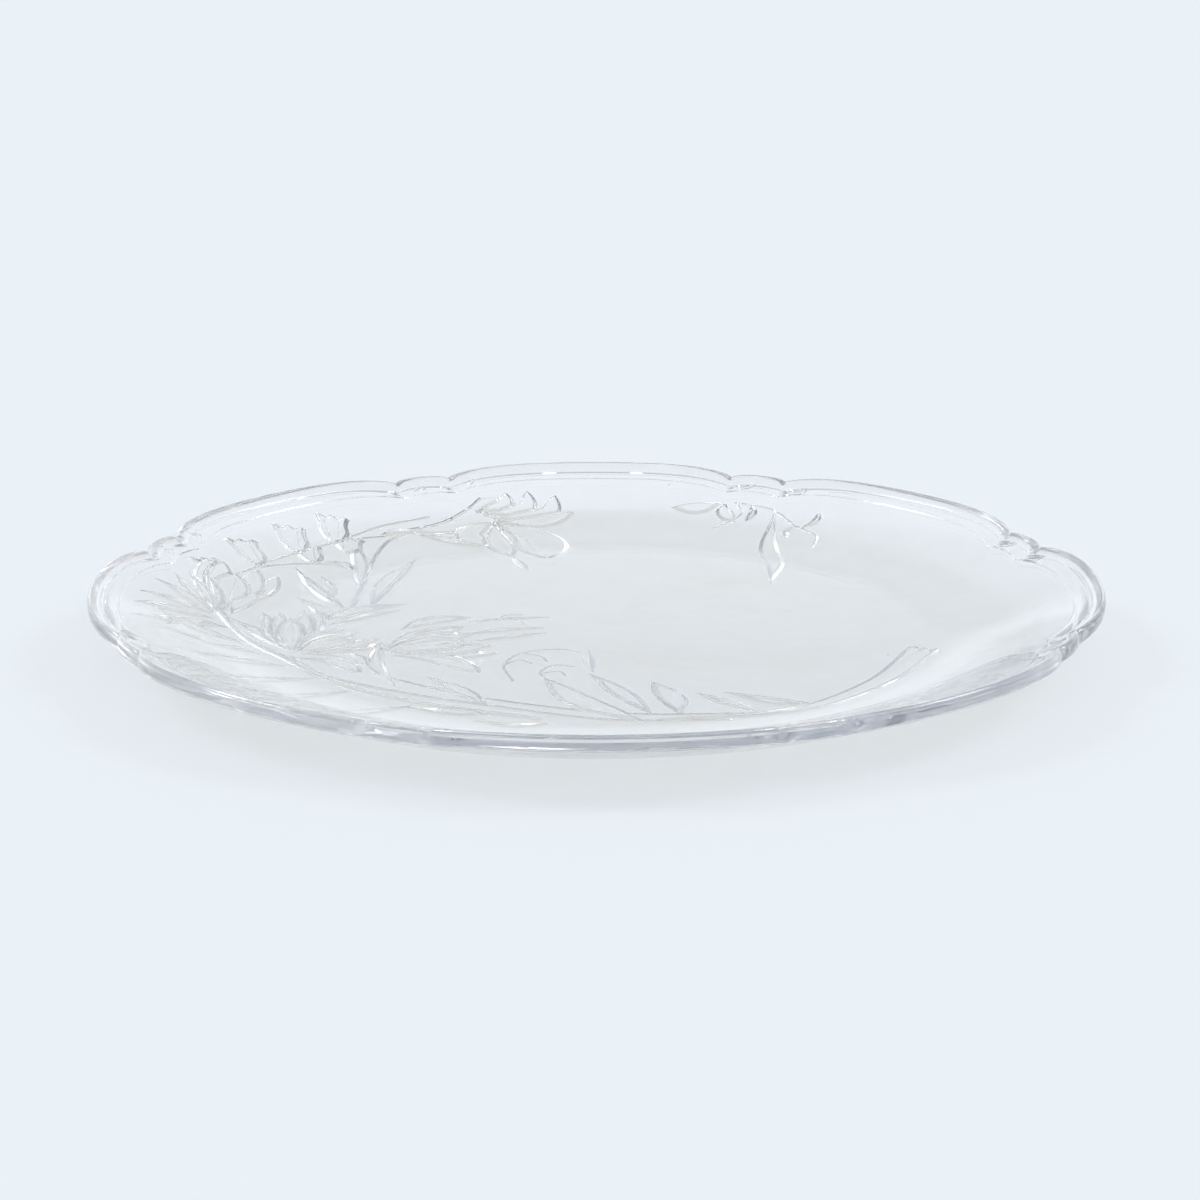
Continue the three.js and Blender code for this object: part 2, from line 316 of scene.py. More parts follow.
flowers = {
    "drawnRadius": 170.0,  # outer radius that their points are drawn for
    "depth": 1.0,  # floor of a leaf or petal
    "stemDepth": 0.75,
    "flareDepth": 1.25,  # the flowers on the far flare are pressed this much deeper
    "margin": 2.5,  # plain glass left inside the border
    "tipWidth": 0.5,
    "wallRun": 1.6,  # run of the wall at an outline
    "beadRise": 0.25,  # rolled edge just inside the wall
    "beadRun": 0.5,
    "swell": 0.3,  # the floor is this much deeper along the middle
    "crease": 0.5,  # run of the ridge that parts two overlapping forms
    "creaseKeep": 0.25,  # depth that is left on it
    "veinWidth": 0.9,
    "veinRise": 0.16,
    "veinTip": 0.12,  # share of its length that each blunt end takes
    "petalLean": 1.25,  # powers: a petal is widest past its middle,
    "petalFull": 0.75,  # with full sides,
    "trumpetFlare": 1.3,  # a trumpet widens late
    "bladeFlare": 0.8,  # and a blade early
    "trace": 0.25,  # spacing of the points that trace a form's middle line
    "station": 0.9,  # mesh spacing along an outline
    "fill": 3.0,  # mesh spacing inside wide forms
    "ground": 4.5,  # and on the plain glass around them
    "groundClear": 0.45,  # share of that spacing kept free round other points
    "rows": (-0.5, -0.1, 0.3, 0.7, 1.1, 1.45, 1.9, 2.5),  # mesh rows, inside each outline
    "leastReach": 0.12,  # a row nearer to the middle line is left out
    "leastGap": 0.12,  # mesh points nearer to each other are thinned
    "capPoints": 3,  # per millimetre of a rounded end's radius
    "capFewest": 3,
    "lipPoints": 4,  # per millimetre of half a bell's mouth
    "lipFewest": 9,
    "formClear": 0.15,  # mesh of the forms below ends this far outside a crease
    "veinClear": 0.1,  # and this far outside a vein
}
reliefScale = outerRadius / flowers["drawnRadius"]


def place(point):
    spot = np.array(point, float) * reliefScale
    limit = edgeRadius(math.atan2(spot[1], spot[0])) - border["width"] - flowers["margin"]
    return spot * min(1, limit / max(np.hypot(*spot), tiny))


def form(kind, path, widthAt, depth):
    knots = [place(p) for p in path]
    piece = band(kind, knots, flowers["trace"], lambda t: widthAt(t) * reliefScale)
    return piece | {"depth": depth}


def vein(*path):
    width, tip = flowers["veinWidth"], flowers["veinTip"]
    return form("vein", path, lambda t: width * np.sin(math.pi * np.clip(t, tip, 1 - tip)), 0)


def leaf(width, *path):
    tip = flowers["tipWidth"]
    return [form("leaf", path, lambda t: tip + (width - tip) * np.sin(math.pi * t), flowers["depth"])]


def petalShare(t):
    return np.sin(math.pi * t ** flowers["petalLean"]) ** flowers["petalFull"]


def petal(width, *path):
    tip = flowers["tipWidth"]
    return [form("petal", path, lambda t: tip + (width - tip) * petalShare(t), flowers["depth"])]


def stem(width, *path):
    return [form("stem", path, lambda t: np.full_like(t, width), flowers["stemDepth"])]


def across(start, end):
    run = np.subtract(end, start)
    return np.array((-run[1], run[0])) / np.hypot(*run)


# Bluebell: a bulging cup with a flared, toothed mouth and two ribs
def bell(width, stalk, mouth):
    def share(t):
        return np.interp(t, bells["lengths"], bells["widths"])

    cup = form("bell", (stalk, mouth), lambda t: width * share(t), flowers["depth"])
    side = across(stalk, mouth) * width
    ribs = []
    for way in (-1, 1):
        start = np.add(stalk, way * side * bells["ribStart"])
        ribs.append(vein(start, np.add(mouth, way * side * bells["ribEnd"])))
    return [cup, *ribs]


# Tulip: two outer petals that lean out, two between them and one in front
tulipPetals = (
    (-1, 0.34, 0.3, 0.46, 0.98),  # side, then width, belly, lean and length as shares of the flower's size
    (1, 0.34, 0.3, 0.46, 0.98),
    (-1, 0.36, 0.16, 0.2, 1.04),
    (1, 0.36, 0.16, 0.2, 1.0),
    (1, 0.44, 0.02, 0.03, 0.84),
)
tulipVein = 0.72  # share of its length


def tulip(width, base, tip):
    base, tip = np.array(base, float), np.array(tip, float)
    side = across(base, tip) * width
    pieces = []
    for way, share, belly, lean, length in tulipPetals:
        middle = lerp(base, tip, 0.5 * length) + way * side * belly
        pieces += petal(width * share, base, middle, lerp(base, tip, length) + way * side * lean)
    return [*pieces, vein(base, lerp(base, tip, tulipVein))]


# Lily: a long tube that widens to the mouth
def trumpet(throat, mouth, *path):
    flare = flowers["trumpetFlare"]
    return [form("petal", path, lambda t: lerp(throat, mouth, t ** flare), flowers["depth"])]


# Long leaf that widens to a cut end
def blade(root, end, *path):
    flare = flowers["bladeFlare"]
    return [form("bell", path, lambda t: lerp(root, end, t ** flare), flowers["depth"])]


lily = [
    stem(2.6, (-66, 122), (-74, 112), (-78, 99), (-80, 78), (-82, 50), (-84, 27)),
    petal(7, (-64, 120), (-52, 117), (-38, 111)),
    trumpet(4, 24, (-68, 121), (-54, 127), (-35, 138)),
    stem(1.5, (-67, 123), (-56, 130), (-46, 141), (-42, 152)),
    stem(1.3, (-65, 120), (-53, 123), (-38, 131)),
    [vein((-64, 124), (-52, 130), (-36, 143))],
    petal(7, (-42, 140), (-32, 146), (-33, 160)),
    petal(8, (-39, 138), (-24, 145), (-24, 158)),
    petal(9, (-36, 136), (-16, 142), (-13, 153)),
    petal(9, (-35, 134), (-18, 136), (-6, 143)),
    petal(11, (-36, 134), (-45, 123), (-37, 112)),
    petal(20, (-34, 133), (-21, 122), (-16, 95)),
    [vein((-32, 128), (-24, 118), (-19, 103))],
    petal(11, (-36, 134), (-34, 116), (-29, 98)),
    leaf(4, (-29, 98), (-26, 88), (-23, 78)),
]

lilyLeaves = [
    leaf(7, (-82, 58), (-83, 86), (-88, 114)),
    leaf(8, (-77, 33), (-73, 62), (-63, 95)),
    leaf(6, (-85, 27), (-95, 50), (-106, 78)),
    leaf(4.5, (-91, 42), (-92, 57), (-96, 71)),
    leaf(7, (-93, 8), (-94, 28), (-103, 45)),
    leaf(9, (-92, 16), (-82, 28), (-65, 36)),
    leaf(7, (-91, 10), (-80, 20), (-67, 28)),
]

bellSprays = [
    stem(2, (-128, 58), (-119, 71), (-108, 80), (-98, 84), (-88, 86)),
    leaf(6, (-96, 87), (-90, 86), (-85, 80)),
    stem(1.8, (-124, 64), (-113, 82), (-102, 95), (-90, 108), (-77, 122), (-60, 133)),
    stem(1.6, (-95, 103), (-84, 111), (-72, 117)),
    leaf(5, (-77, 116), (-71, 120), (-64, 121)),
    bell(12, (-100, 85), (-103, 97)),
    bell(12, (-88, 98), (-88, 109)),
    bell(13, (-130, 55), (-140, 66)),
    bell(14, (-119, 74), (-126, 88)),
    bell(14, (-106, 91), (-110, 107)),
    bell(14, (-93, 105), (-95, 121)),
]

leftTulip = [
    stem(3, (-127, 40), (-127, 30), (-129, 19)),
    tulip(30, (-127, 26), (-125, 68)),
    leaf(8, (-125, 21), (-120, 38), (-112, 46)),
    leaf(5, (-129, 20), (-131, 38), (-135, 53)),
    leaf(6, (-130, 20), (-136, 38), (-142, 51)),
    leaf(6, (-131, 19), (-140, 34), (-149, 46)),
    leaf(7, (-131, 18), (-143, 30), (-155, 35)),
    leaf(7, (-132, 17), (-145, 20), (-159, 18)),
    leaf(8, (-131, 12), (-146, 10), (-160, 4)),
    leaf(7, (-128, 3), (-142, -2), (-156, -12)),
]

sweepingStems = [
    stem(4.5, (-129, 20), (-117, -8), (-101, -33), (-84, -58), (-56, -80), (-20, -97)),
    leaf(8, (-103, -20), (-113, 0), (-126, 16)),
    stem(3, (-101, -28), (-88, -50), (-62, -69), (-30, -85), (2, -98), (40, -99)),
    stem(2.4, (-72, -48), (-50, -66), (-22, -82), (10, -92), (48, -92)),
    leaf(8, (-125, 4), (-136, 4), (-145, -9)),
    leaf(8, (-118, -12), (-131, -6), (-150, 6)),
    leaf(8, (-112, -24), (-128, -17), (-150, -14)),
    leaf(9, (-103, -38), (-122, -34), (-141, -38)),
    leaf(9, (-93, -52), (-111, -57), (-128, -66)),
    leaf(8, (-80, -66), (-98, -76), (-114, -90)),
    leaf(8, (-60, -82), (-78, -94), (-92, -108)),
]

tulips = [
    tulip(22, (-101, -22), (-104, 27)),
    petal(9, (-98, -24), (-85, -25), (-75, -39)),
    petal(9, (-98, -29), (-88, -32), (-78, -46)),
    tulip(27, (-100, -21), (-77, -3)),
    leaf(6, (-66, -60), (-73, -36), (-72, -9)),
    tulip(38, (-71, -20), (-38, -8)),
    petal(12, (-68, -26), (-53, -30), (-39, -46)),
    petal(10, (-66, 4), (-56, 15), (-43, 19)),
    leaf(5, (-45, -2), (-32, 3), (-18, 6)),
    leaf(5, (-42, -10), (-30, -5), (-17, 0)),
    leaf(4, (-43, 14), (-30, 17), (-16, 19)),
    petal(8, (-62, -84), (-50, -88), (-36, -92)),
    petal(7, (-40, -99), (-29, -104), (-17, -102)),
]

middleBells = [
    stem(1.3, (-28, -56), (-31, -38), (-25, -24), (-12, -20), (-6, -24)),
    stem(1.2, (-31, -38), (-26, -32), (-22, -36)),
    stem(1.2, (-25, -24), (-19, -28), (-17, -34)),
    stem(1.2, (-40, 12), (-34, 16), (-27, 15), (-24, 10)),
    stem(1.2, (-33, 16), (-31, 21), (-25, 22)),
    stem(1.3, (-16, -58), (-19, -46), (-14, -38), (-8, -40)),
    stem(1.2, (-18, -47), (-13, -45), (-11, -50)),
]

frontLeaves = [
    leaf(8, (-36, -82), (-44, -68), (-56, -50)),
    leaf(12, (14, -101), (-6, -79), (-18, -52)),
    leaf(8, (16, -92), (6, -68), (-3, -48)),
    leaf(4, (-2, -46), (-3, -34), (-3, -20)),
    leaf(10, (25, -92), (23, -76), (17, -57)),
    leaf(7, (50, -90), (41, -81), (31, -70)),
    leaf(8, (71, -84), (55, -79), (40, -69)),
    blade(3, 12, (20, -98), (62, -89), (90, -60), (109, -21)),
]

hangingSprig = [
    stem(1.6, (55, 144), (67, 135), (75, 122), (82, 112), (80, 104)),
    leaf(8, (49, 145), (41, 142), (30, 144)),
    leaf(7, (51, 145), (49, 139), (53, 130)),
    stem(1.4, (54, 143), (56, 136), (51, 131), (45, 128)),
    leaf(8, (68, 134), (64, 108), (65, 85), (62, 61)),
    petal(4, (75, 122), (71, 119), (71, 114)),
    petal(4, (77, 120), (82, 122), (84, 127)),
    petal(4, (59, 140), (60, 135), (57, 130)),
]

motifs = [
    lily, lilyLeaves, bellSprays, leftTulip, sweepingStems, tulips, middleBells, frontLeaves, hangingSprig,
]
for motif in (lily, bellSprays):
    for group in motif:
        for piece in group:
            piece["depth"] *= flowers["flareDepth"]
forms = [piece for motif in motifs for group in motif for piece in group]
print("flowers:", len(forms), "pressed forms")


def pressedDepth(points):
    depth = np.zeros(len(points))
    for piece in forms:
        near = nearForm(piece, points)
        if not len(near):
            continue
        inside, share = measure(piece, points[near])
        here = depth[near]
        if piece["kind"] == "vein":
            lens = np.where(inside > 0, np.clip(1 - share ** 2, 0, 1) ** 2, 0)
            depth[near] = np.maximum(0, here - flowers["veinRise"] * lens)
            continue
        ridge = smooth((inside + flowers["crease"]) / flowers["crease"])
        kept = here * (1 - (1 - flowers["creaseKeep"]) * ridge)
        bead = flowers["beadRise"] * np.exp(-((inside - flowers["wallRun"]) / flowers["beadRun"]) ** 2)
        floor = piece["depth"] + flowers["swell"] * np.clip(1 - share ** 2, 0, 1)
        depth[near] = lerp(kept, floor + bead, smooth(inside / flowers["wallRun"]))
    return depth


def underFace(x, y):
    points = np.column_stack([x, y])
    return underHeight(np.hypot(x, y)) + pressedDepth(points)


# Mesh points: rows along each outline, a few inside wide forms, and a loose ground

def outlinePoints(piece):
    every = max(1, round(flowers["station"] / flowers["trace"]))
    pick = np.arange(0, len(piece["middle"]), every)
    if pick[-1] != len(piece["middle"]) - 1:
        pick = np.append(pick, len(piece["middle"]) - 1)
    middle, side, half = piece["middle"][pick], piece["side"][pick], piece["half"][pick]
    rows = [middle]
    if piece["kind"] == "vein":
        for reach in (half, half / 2):
            rows += [middle + way * side * reach[:, None] for way in (-1, 1)]
        return np.vstack(rows)
    fill = flowers["fill"]
    for inset in (*flowers["rows"], *np.arange(flowers["rows"][-1] + fill / 2, half.max(), fill)):
        reach = half - inset
        fits = reach > flowers["leastReach"]
        rows += [(middle + way * side * reach[:, None])[fits] for way in (-1, 1)]
    ends = [(0, -1)] if piece["kind"] == "bell" else [(0, -1), (-1, 1)]
    for end, way in ends:
        forward, sideways = way * piece["forward"][end], piece["side"][end]
        for inset in flowers["rows"]:
            reach = piece["half"][end] - inset
            if reach > flowers["leastReach"]:
                count = max(flowers["capFewest"], int(reach * flowers["capPoints"]))
                turns = np.linspace(-1, 1, count + 2)[1:-1, None] * math.pi / 2
                fan = np.cos(turns) * forward + np.sin(turns) * sideways
                rows.append(piece["middle"][end] + reach * fan)
    if piece["kind"] == "bell":
        count = max(flowers["lipFewest"], int(piece["half"][-1] * flowers["lipPoints"]))
        share = np.linspace(-1, 1, count)
        lip = piece["middle"][-1] + share[:, None] * piece["half"][-1] * piece["side"][-1]
        teeth = bellTeeth(share) * piece["half"][-1]
        rows += [lip + (teeth - inset)[:, None] * piece["forward"][-1] for inset in flowers["rows"]]
    return np.vstack(rows)


def reliefPoints():
    kept = []
    for number, piece in enumerate(forms):
        points = outlinePoints(piece)
        for later in forms[number + 1:]:
            near = nearForm(later, points)
            if len(near):
                inside, _ = measure(later, points[near])
                margin = flowers["crease"] + flowers["formClear"]
                if later["kind"] == "vein":
                    margin = flowers["veinClear"]
                points = np.delete(points, near[inside > -margin], axis=0)
        kept.append(points)
    return np.vstack(kept)


def thin(points, spacing):
    cells = np.round(points / spacing).astype(np.int64)
    _, first = np.unique(cells, axis=0, return_index=True)
    return points[np.sort(first)]


def clearOf(points, others, distance):
    tree = KDTree(len(others))
    for number, (x, y) in enumerate(others):
        tree.insert((x, y, 0), number)
    tree.balance()
    return np.array([p for p in points if tree.find((p[0], p[1], 0))[2] > distance])


def columnAngles():
    zone = math.radians(outline["tieZone"])
    angles = []
    for lobe in lobes:
        middle = (lobe + 0.5) * pitch
        stops = (middle - zone, middle - shortHalf, middle + shortHalf, middle + zone, middle + pitch - zone)
        steps = [outline["fineStep"]] * 3 + [outline["plainStep"]]
        for start, stop, step in zip(stops, stops[1:], steps):
            count = math.ceil((stop - start) / math.radians(step))
            angles.extend(start + (stop - start) * i / count for i in range(count))
    return np.array(angles)


columns = columnAngles()
columnEdge = edgeRadius(columns)


def ringAt(inset):
    radius = columnEdge - inset
    return np.column_stack([radius * np.cos(columns), radius * np.sin(columns)])


# The rim's rounded outer face, from the crest round to the lower edge
def rimRings():
    crest = ringAt(border["crestInset"])
    crestHeight = topFace(crest[:, 0], crest[:, 1])
    outermost = crestHeight - border["crestDrop"]
    lowest = underHeight(columnEdge - border["edgeInset"])
    rings = []
    for turn in np.linspace(math.pi / 2, 0, border["crestSteps"] + 1):
        ring = ringAt(border["crestInset"] * (1 - math.cos(turn)))
        rings.append(np.column_stack([ring, outermost + border["crestDrop"] * math.sin(turn)]))
    square = 2 / border["edgeSquare"]
    for turn in np.linspace(0, math.pi / 2, border["edgeSteps"] + 1)[1:]:
        ring = ringAt(border["edgeInset"] * (1 - max(0, math.cos(turn)) ** square))
        rings.append(np.column_stack([ring, lerp(outermost, lowest, math.sin(turn) ** square)]))
    return rings


def polarPoints(radius, spacing):
    rows = [np.zeros((1, 2))]
    for ring in np.arange(spacing, radius, spacing):
        count = max(6, round(2 * math.pi * ring / spacing))
        turns = (np.arange(count) + 0.5 * (len(rows) % 2)) * 2 * math.pi / count
        rows.append(ring * np.column_stack([np.cos(turns), np.sin(turns)]))
    return np.vstack(rows)


def tiePoints(tie):
    pick = np.arange(0, len(tie["middle"]), round(ties["station"] / ties["trace"]))
    middle, side, half = tie["middle"][pick], tie["side"][pick], tie["half"][pick]
    return np.vstack([middle + side * (half * row)[:, None] for row in ties["rows"]])


def topPoints():
    reeds = [np.arange(*row) for row in border["reedRows"]]
    insets = np.concatenate([*reeds, border["stepRows"], border["flareRows"]])
    rings = np.vstack([ringAt(inset) for inset in insets])
    for tie in ribbons:
        near = nearForm(tie, rings)
        inside, _ = measure(tie, rings[near])
        rings = np.delete(rings, near[inside > -ties["clear"]], axis=0)
    rows = [tiePoints(tie) for tie in ribbons]
    inset, every = border["lastRow"]
    plain = ringAt(inset)[::every]
    wellRadius = heelRadius - dish["heelBlend"]
    well = polarPoints(wellRadius, dish["wellSpacing"])
    turns = np.arange(dish["heelColumns"]) * 2 * math.pi / dish["heelColumns"]
    for radius in np.arange(wellRadius, notchRadius - dish["heelInset"], dish["heelSpacing"]):
        rows.append(radius * np.column_stack([np.cos(turns), np.sin(turns)]))
    return np.vstack([rings, *rows, plain, well])


def underPoints(boundary):
    edge = border["edgeInset"]
    rows = [ringAt(edge + inset)[::every] for inset, every in border["underRows"]]
    relief = thin(reliefPoints(), flowers["leastGap"])
    fixed = np.vstack([*rows, relief])
    ground = polarPoints(notchRadius - edge - dish["underInset"], flowers["ground"])
    clear = flowers["ground"] * flowers["groundClear"]
    return np.vstack([fixed, clearOf(ground, np.vstack([fixed, boundary]), clear)])


# Triangles between a closed boundary and the points inside it, counter-clockwise seen from above
def triangulate(boundary, points):
    count = len(boundary)
    flat = [Vector((x, y)) for x, y in np.vstack([boundary, points])]
    loop = [(i, (i + 1) % count) for i in range(count)]
    verts, _, faces, origins, _, _ = delaunay_2d_cdt(flat, loop, [], 1, tiny)
    spots = np.array([(v.x, v.y) for v in verts])
    rim = np.array([min((o for o in own if o < count), default=-1) for own in origins])
    faces = np.array(faces)
    a, b, c = (spots[faces[:, i]] for i in range(3))
    (abX, abY), (acX, acY) = (b - a).T, (c - a).T
    turned = abX * acY - abY * acX < 0
    faces[turned] = faces[turned][:, ::-1]
    return spots, rim, faces


# Height and upward normals of one face, and the steepness and height of its ornament
def surveyFace(face, plain, x, y):
    nudge = 0.01
    radius = np.hypot(x, y)
    level = plain(radius)
    z = face(x, y)
    slopeX = (face(x + nudge, y) - z) / nudge
    slopeY = (face(x, y + nudge) - z) / nudge
    normals = np.column_stack([-slopeX, -slopeY, np.ones_like(x)])
    normals /= np.linalg.norm(normals, axis=1)[:, None]
    fall = (plain(radius + nudge) - level) / nudge / np.maximum(radius, nudge)
    steepness = np.hypot(slopeX - fall * x, slopeY - fall * y)
    return z, normals, steepness, z - level


def buildPlatter():
    rings = rimRings()
    count = len(columns)
    vertices = [np.vstack(rings)]
    normals = []
    steep = [np.zeros(len(vertices[0]))]
    hollow = [np.zeros(len(vertices[0]))]
    total = len(vertices[0])
    triangles = []
    here = np.arange(count)
    there = (here + 1) % count
    for ring in range(len(rings) - 1):
        low, high = ring * count, (ring + 1) * count
        triangles.append(np.column_stack([low + here, high + here, high + there]))
        triangles.append(np.column_stack([low + here, high + there, low + there]))
    lastRing = (len(rings) - 1) * count
    crest, lowerEdge = rings[0][:, :2], rings[-1][:, :2]
    for face, plain, boundary, points, start, flip in (
        (topFace, topHeight, crest, topPoints(), 0, 1),
        (underFace, underHeight, lowerEdge, underPoints(lowerEdge), lastRing, -1),
    ):
        spots, rim, faces = triangulate(boundary, points)
        new = np.flatnonzero(rim < 0)
        index = np.where(rim < 0, 0, start + rim)
        index[new] = total + np.arange(len(new))
        total += len(new)
        x, y = spots[new].T
        z, upward, steepness, relief = surveyFace(face, plain, x, y)
        vertices.append(np.column_stack([x, y, z]))
        steep.append(steepness)
        hollow.append(relief * (flip < 0))
        normals.append(upward * flip)
        triangles.append(index[faces][:, ::flip])
    mesh = bpy.data.meshes.new("platter_glass")
    mesh.from_pydata((np.vstack(vertices) * millimetre).tolist(), [], np.vstack(triangles).tolist())
    mesh.polygons.foreach_set("use_smooth", np.ones(len(mesh.polygons), bool))
    mesh.update()
    shading = np.empty(len(mesh.vertices) * 3)
    mesh.vertex_normals.foreach_get("vector", shading)
    shading = shading.reshape(-1, 3)
    shading[len(vertices[0]):] = np.vstack(normals)
    mesh.normals_split_custom_set_from_vertices(shading.tolist())
    for name, values in (("steepness", steep), ("hollow", hollow)):
        mesh.attributes.new(name, "FLOAT", "POINT").data.foreach_set("value", np.concatenate(values))
    platter = bpy.data.objects.new("platter_glass", mesh)
    bpy.context.scene.collection.objects.link(platter)
    print("platter:", len(mesh.vertices), "vertices,", len(mesh.polygons), "triangles")
    return platter


platter = buildPlatter()
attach(platter, "root")
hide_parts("platter")


# Finishes

glass = {
    "colour": (0.998, 0.99, 0.989, 1),
    "stainColour": (0.97, 0.94, 0.89, 1),  # faint warm film on parts of the dish
    "stainScale": (9.0, 16.0, 40.0),  # patches per metre along each axis
    "stainDetail": 3,  # octaves of the noise
    "stainRange": (0.56, 0.78),
    "mottleColour": (0.984, 0.981, 0.977, 1),  # fine cloudiness of old glass
    "mottleScale": 90.0,
    "mottleDetail": 4,
    "mottleRange": (0.4, 0.68),
    "paintedReflectionColour": (0.98, 0.96, 0.92, 1),  # painted reflection: warm streaks on the flare, at the front on both sides
    "reflectionRing": (0.142, 0.149, 0.15, 0.156),  # radii where it starts, is full, fades and ends
    "reflectionFront": (-0.08, -0.06),  # y where it is full and where it ends
    "reflectionSide": (0.075, 0.095),  # distance to each side where it starts and where it is full
    "outlineShadeColour": (0.84, 0.78, 0.72, 1),  # painted shade along the walls of the pressed outlines
    "creaseRoughness": 0.2,
    "creaseShadeAndMatteRange": (0.25, 1.2),  # steepness where the painted shade and the extra roughness start and where they are full
    "hollowShadeColour": (0.987, 0.978, 0.967, 1),  # painted shade inside them, darker where they are pressed deeper
    "hollowRoughness": 0.05,
    "hollowShadeAndMatteRange": (0.25, 1.1),  # depth where the painted shade and the extra roughness start and where they are full
    "seedColour": (0.35, 0.32, 0.3, 1),  # specks in the glass
    "seedScale": 42.0,  # cells per metre
    "seedSize": 0.02,  # share of a cell
    "seedShare": 0.3,  # cells that have one
    "waveScale": 38.0,  # waviness left by the mould
    "waveDetail": 2,
    "waveHeight": 0.00005,
    "smudgeScale": 16.0,
    "smudgeDetail": 5,
    "smudgeRange": (0.5, 0.72),
    "roughness": (0.004, 0.03),  # clean and smudged
    "ior": 1.52,
    "absorbColour": (0.02, 0.06, 0.17, 1),
    "absorbDensity": 1.95,  # per metre of glass
}


def mathNode(tree, operation, *values):
    node = tree.nodes.new("ShaderNodeMath")
    node.operation = operation
    for socket, value in zip(node.inputs, values):
        if isinstance(value, (int, float)):
            socket.default_value = value
        else:
            tree.links.new(value, socket)
    return node.outputs[0]


def rangeNode(tree, value, low, high, start=0, stop=1):
    node = tree.nodes.new("ShaderNodeMapRange")
    node.interpolation_type = "SMOOTHSTEP"
    limits = {"From Min": low, "From Max": high, "To Min": start, "To Max": stop}
    for name, limit in limits.items():
        node.inputs[name].default_value = limit
    tree.links.new(value, node.inputs["Value"])
    return node.outputs["Result"]


def noiseNode(tree, vector, scale, detail):
    node = tree.nodes.new("ShaderNodeTexNoise")
    node.inputs["Scale"].default_value = scale
    node.inputs["Detail"].default_value = detail
    tree.links.new(vector, node.inputs["Vector"])
    return node.outputs["Fac"]


# Noise stretched by a scale for each axis
def patchNode(tree, vector, scales, detail):
    node = tree.nodes.new("ShaderNodeVectorMath")
    node.operation = "MULTIPLY"
    node.inputs[1].default_value = scales
    tree.links.new(vector, node.inputs[0])
    return noiseNode(tree, node.outputs["Vector"], 1, detail)


def attributeNode(tree, name):
    node = tree.nodes.new("ShaderNodeAttribute")
    node.attribute_name = name
    return node.outputs["Fac"]


def tintNode(tree, share, colour, below, blend="MIX"):
    node = tree.nodes.new("ShaderNodeMix")
    node.data_type = "RGBA"
    node.blend_type = blend
    factor, first, second = node.inputs[0], node.inputs[6], node.inputs[7]
    second.default_value = colour
    tree.links.new(share, factor)
    if isinstance(below, tuple):
        first.default_value = below
    else:
        tree.links.new(below, first)
    return node.outputs[2]


# Where the painted reflection lies: a ring on the flare, at the front, on both sides
def paintedReflectionMask(tree, spot):
    split = tree.nodes.new("ShaderNodeSeparateXYZ")
    tree.links.new(spot, split.inputs["Vector"])
    x, y = split.outputs["X"], split.outputs["Y"]
    squares = mathNode(tree, "MULTIPLY_ADD", x, x, mathNode(tree, "MULTIPLY", y, y))
    radius = mathNode(tree, "SQRT", squares)
    start, full, fade, end = glass["reflectionRing"]
    outside = rangeNode(tree, radius, start, full)
    ring = mathNode(tree, "MULTIPLY", outside, rangeNode(tree, radius, fade, end, 1, 0))
    front = rangeNode(tree, y, *glass["reflectionFront"], 1, 0)
    side = rangeNode(tree, mathNode(tree, "ABSOLUTE", x), *glass["reflectionSide"])
    return mathNode(tree, "MULTIPLY", ring, mathNode(tree, "MULTIPLY", front, side))


